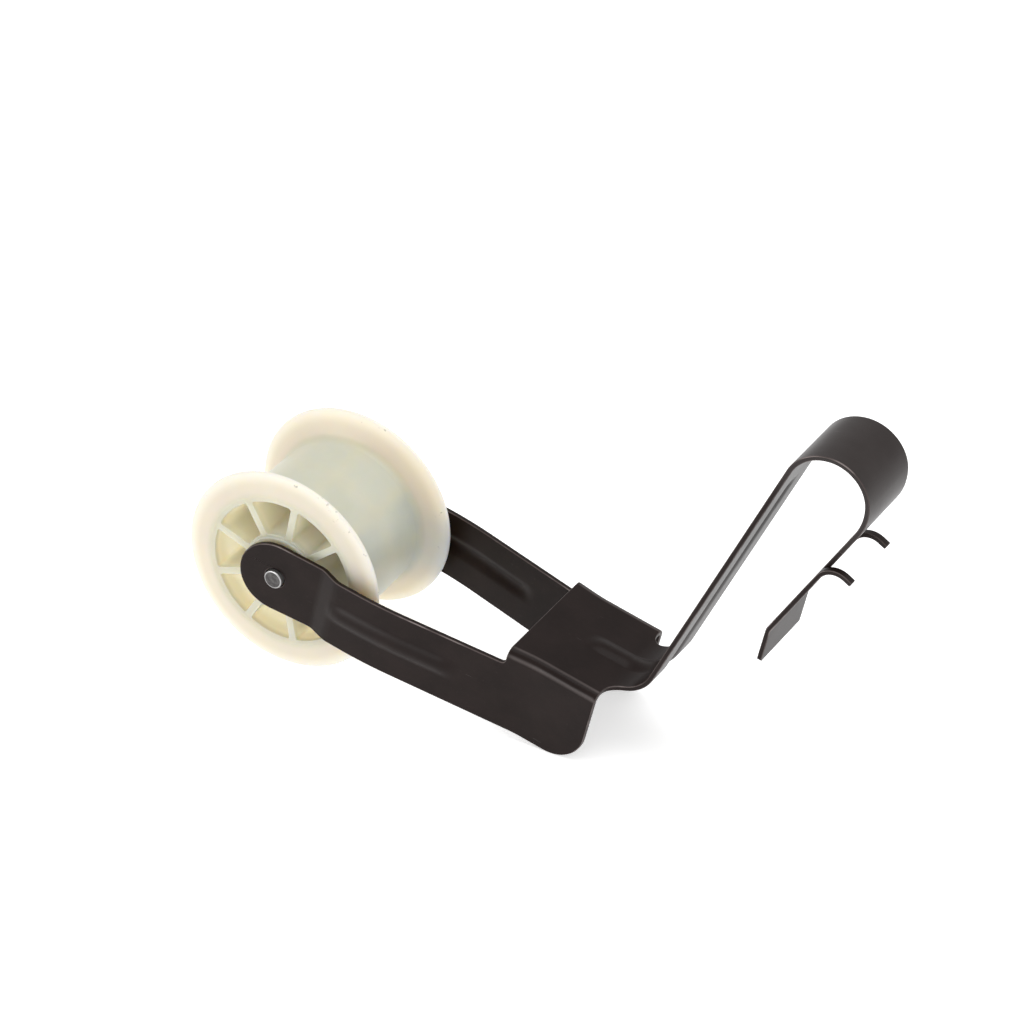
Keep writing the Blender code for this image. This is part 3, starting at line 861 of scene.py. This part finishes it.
# %% Lathe
def lathe_mesh(name, section, steps, place):
    """A closed (radius, y) section turned about the Y axis through a place."""
    shape = bmesh.new()
    verts = [shape.verts.new((radius, y, 0.0)) for radius, y in section]
    edges = [shape.edges.new(pair) for pair in zip(verts, verts[1:] + verts[:1])]
    bmesh.ops.spin(shape, geom=verts + edges, cent=(0, 0, 0), axis=(0, 1, 0),
                   angle=2 * math.pi, steps=steps, use_merge=True)
    bmesh.ops.remove_doubles(shape, verts=shape.verts[:], dist=WELD)
    on_axis = [edge for edge in shape.edges if not edge.link_faces]
    bmesh.ops.delete(shape, geom=on_axis, context="EDGES")
    bmesh.ops.recalc_face_normals(shape, faces=shape.faces[:])
    bmesh.ops.translate(shape, verts=shape.verts[:], vec=place)
    mesh = bpy.data.meshes.new(name)
    shape.to_mesh(mesh)
    shape.free()
    mesh.shade_smooth()
    return mesh


def solid_wheel():
    """The wheel before its pockets are cut."""
    half = wheel_half_section()
    section = half + [(BARREL_RADIUS + BARREL_CROWN, 0.0)]
    section += [(radius, -y) for radius, y in reversed(half)]
    return add_object("spoked_wheel", lathe_mesh("spoked_wheel", section, TURNING_STEPS, AXLE), nylon)


wheel = solid_wheel()
print("wheel before its pockets", len(wheel.data.polygons), "faces")

# %% [markdown]
# The tree takes the pocket and its mirror image as a pair, for the two ends of the wheel. It sets
# out as many points as there are pockets on the axle, puts the pair on each and turns each one step
# further. Realize Instances makes them one mesh, and Mesh Boolean cuts it out of the wheel.

# %% Set out the pockets and cut them
def cut_pockets(wheel, pocket):
    tree = Tree("pockets", Finish=("Material", nylon), Pocket=("Object", pocket),
                Count=("Int", SPOKE_COUNT), First=("Float", SPOKE_FIRST),
                Axle=("Vector", tuple(AXLE)))
    inputs = tree.start.outputs
    shape = tree.node("GeometryNodeObjectInfo", {}, {"Object": inputs["Pocket"]}).outputs["Geometry"]
    flipped = tree.node("GeometryNodeTransform", {}, {"Geometry": shape, "Scale": (1.0, -1.0, 1.0)})
    outward = tree.node("GeometryNodeFlipFaces", {}, {"Mesh": flipped.outputs[0]}).outputs[0]
    pair = tree.node("GeometryNodeJoinGeometry")
    tree.tree.links.new(shape, pair.inputs[0])
    tree.tree.links.new(outward, pair.inputs[0])
    places = tree.node("GeometryNodePoints", {}, {"Count": inputs["Count"],
                                                  "Position": inputs["Axle"]}).outputs[0]
    number = tree.node("GeometryNodeInputIndex").outputs[0]
    step = tree.math("DIVIDE", 2 * math.pi, inputs["Count"])
    angle = tree.math("ADD", tree.math("MULTIPLY", number, step), inputs["First"])
    turn = tree.node("ShaderNodeCombineXYZ", {}, {"Y": tree.math("MULTIPLY", angle, -1.0)}).outputs[0]
    placed = tree.node("GeometryNodeInstanceOnPoints", {}, {
        "Points": places, "Instance": pair.outputs[0], "Rotation": turn}).outputs[0]
    cutters = tree.node("GeometryNodeRealizeInstances", {}, {"Geometry": placed}).outputs[0]
    cut = tree.node("GeometryNodeMeshBoolean", {"operation": "DIFFERENCE", "solver": "EXACT"},
                    {"Mesh 1": inputs["Geometry"], "Mesh 2": cutters}).outputs[0]
    tree.finish(wheel, cut)
    return applied(wheel)


pocket = add_object("pocket", pocket_shape)
cut_pockets(wheel, pocket)
bpy.data.objects.remove(pocket)
print("wheel with", 2 * SPOKE_COUNT, "pockets", len(wheel.data.polygons), "faces")

# %% [markdown]
# A moulded edge is never sharp, so a small bevel rounds the mouths of the pockets. The wheel then
# rides on the body that turns on the pin, and takes the place of the three nodes that it is packed
# as.

# %% Round the mouths and tie the wheel to its body
MOUTH_ROUND = 0.00028
MOUTH_ANGLE = math.radians(55)


def soften_mouths(wheel):
    modifier(wheel, "BEVEL", width=MOUTH_ROUND, segments=2, limit_method="ANGLE",
             angle_limit=MOUTH_ANGLE)
    even_shading(wheel)
    wheel.data.shade_smooth()
    return applied(wheel)


soften_mouths(wheel)
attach(wheel, "wheel")
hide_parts("wheel_barrel", "wheel_end_near", "wheel_end_far")
print("spoked_wheel", len(wheel.data.polygons), "faces")

# %% [markdown]
# ## Pin and bushes
# The pin is pressed into the fork tips and stands out of them a little, with a chamfer at each end.
# The wheel turns on it in two plain bushes. All three are turned parts, so they come off the same
# lathe as the wheel.

# %% Make the pin and the bushes
PIN_RADIUS = 0.003175
PIN_HALF = 0.0284
PIN_CHAMFER = 0.0004
PIN_DISH = (0.00012, 0.00004)
PIN_DISH_EDGE = 0.0003
BUSH_RADIUS = 0.00475
BUSH_LENGTH = 0.0120
BUSH_RECESS = 0.0002
BUSH_ROUND = 0.0003
BUSH_CLEARANCE = 0.0003
PIN_STEPS = 64


def make_pin():
    ends = [(0.0, PIN_HALF - PIN_DISH[0]),
            (PIN_RADIUS - PIN_CHAMFER - PIN_DISH_EDGE, PIN_HALF - PIN_DISH[1])]
    ends += arc((PIN_RADIUS - PIN_CHAMFER, PIN_HALF - PIN_CHAMFER), PIN_CHAMFER, 90, 0, 5)
    section = ends + [(radius, -y) for radius, y in reversed(ends)]
    pin = add_object("turned_pin", lathe_mesh("turned_pin", section, PIN_STEPS, AXLE), pin_finish)
    even_shading(pin)
    applied(pin)
    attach(pin, "arm")
    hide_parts("axle_pin")
    return pin


def make_bush(name, node, side):
    bore = PIN_RADIUS + BUSH_CLEARANCE
    outer, inner = HUB_PLANE - BUSH_RECESS, HUB_PLANE - BUSH_LENGTH
    section = [(bore, outer - BUSH_ROUND), (bore + BUSH_ROUND, outer)]
    section += arc((BUSH_RADIUS - BUSH_ROUND, outer - BUSH_ROUND), BUSH_ROUND, 90, 0, 4)
    section += [(BUSH_RADIUS, inner), (bore, inner)]
    section = [(radius, side * y) for radius, y in section]
    bush = add_object(name, lathe_mesh(name, section, PIN_STEPS, AXLE), bronze)
    even_shading(bush)
    applied(bush)
    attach(bush, "wheel")
    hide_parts(node)
    return bush


pin = make_pin()
bushes = [make_bush("bronze_bush_near", "hub_bush_near", -1),
          make_bush("bronze_bush_far", "hub_bush_far", 1)]
print("pin and bushes", [len(piece.data.polygons) for piece in (pin, *bushes)], "faces")

# %% [markdown]
# ## Floor, light and camera
# The part stands on its flanges and heels on a pale floor that glows faintly, as a light table
# does, which keeps the shadows light and the undersides readable. Soft white light comes from all
# sides, with one broad panel above, so that the dark steel shows long, faint reflections. A low
# panel in front is seen in reflections only, and draws the upper flanks of the ribs as soft bands.

# %% Floor
FLOOR_GLOW = 0.5
FLOOR_REACH = 6.0
FLOOR_COLOUR = (0.93, 0.93, 0.93, 1.0)
WHITE = (1.0, 1.0, 1.0, 1.0)


def make_floor():
    shape = bmesh.new()
    bmesh.ops.create_grid(shape, x_segments=1, y_segments=1, size=FLOOR_REACH)
    mesh = bpy.data.meshes.new("floor")
    shape.to_mesh(mesh)
    shape.free()
    finish = Finish("pale_floor", Roughness=0.9, Emission_Strength=FLOOR_GLOW)
    finish.shader.inputs["Base Color"].default_value = FLOOR_COLOUR
    finish.shader.inputs["Emission Color"].default_value = WHITE
    floor = add_object("floor", mesh, finish.material)
    return floor


floor = make_floor()
print("floor", floor.name)

# %% Light
SKY_STRENGTH = 0.78
TOP_PANEL = {"place": (0.1, 0.0, 0.9), "aim": (0.0, 0.0, 0.03), "size": (0.6, 0.6), "watts": 2.5}
GLEAM_PANEL = {"place": (-0.55, -1.10, 0.24), "aim": (-0.05, 0.0, 0.035), "size": (1.0, 0.35),
               "watts": 9.0}


def soft_panel(name, place, aim, size, watts):
    light = bpy.data.lights.new(name, "AREA")
    light.shape = "RECTANGLE"
    light.size, light.size_y = size
    light.energy = watts
    panel = bpy.data.objects.new(name, light)
    direction = Vector(aim) - Vector(place)
    turn = direction.to_track_quat("-Z", "Y").to_matrix().to_4x4()
    panel.matrix_world = Matrix.Translation(place) @ turn
    bpy.context.scene.collection.objects.link(panel)
    return panel


world = bpy.data.worlds.new("studio")
world.use_nodes = True
world.node_tree.nodes["Background"].inputs["Color"].default_value = WHITE
world.node_tree.nodes["Background"].inputs["Strength"].default_value = SKY_STRENGTH
bpy.context.scene.world = world
top = soft_panel("top_panel", **TOP_PANEL)
gleam = soft_panel("gleam_panel", **GLEAM_PANEL)
gleam.visible_diffuse = False
bpy.context.scene.view_settings.view_transform = "Standard"
print("lights", top.name, gleam.name, "and the sky at", SKY_STRENGTH)

# %% [markdown]
# The camera is a long lens from the front left and above. Its direction is two angles and a small
# roll, and its place puts the axle where it belongs in the picture.

# %% Camera
VIEW_AZIMUTH = math.radians(30.34)
VIEW_ELEVATION = math.radians(33.28)
LEVELLING = math.radians(0.45)
VIEW_DISTANCE = 1.498
AXLE_IN_VIEW = Vector((-0.06072, -0.00784, 0.0))
SENSOR_WIDTH = 36.0
FOCAL_LENGTH = 165.7265625
FAR_CLIP = 20.0


def make_camera():
    a, e = VIEW_AZIMUTH, VIEW_ELEVATION
    right = Vector((math.cos(a), math.sin(a), 0.0))
    back = Vector((math.sin(a) * math.cos(e), -math.cos(a) * math.cos(e), math.sin(e)))
    up = back.cross(right)
    turn = Matrix((right, up, back)).transposed()
    turn = Matrix.Rotation(-LEVELLING, 3, "Y") @ turn
    place = AXLE + turn @ (Vector((0.0, 0.0, VIEW_DISTANCE)) - AXLE_IN_VIEW)
    data = bpy.data.cameras.new("view")
    data.sensor_width = SENSOR_WIDTH
    data.lens = FOCAL_LENGTH
    data.clip_end = FAR_CLIP
    camera = bpy.data.objects.new("view", data)
    camera.matrix_world = Matrix.Translation(place) @ turn.to_4x4()
    bpy.context.scene.collection.objects.link(camera)
    bpy.context.scene.camera = camera
    return camera


camera = make_camera()
print("camera at", tuple(camera.matrix_world.translation))
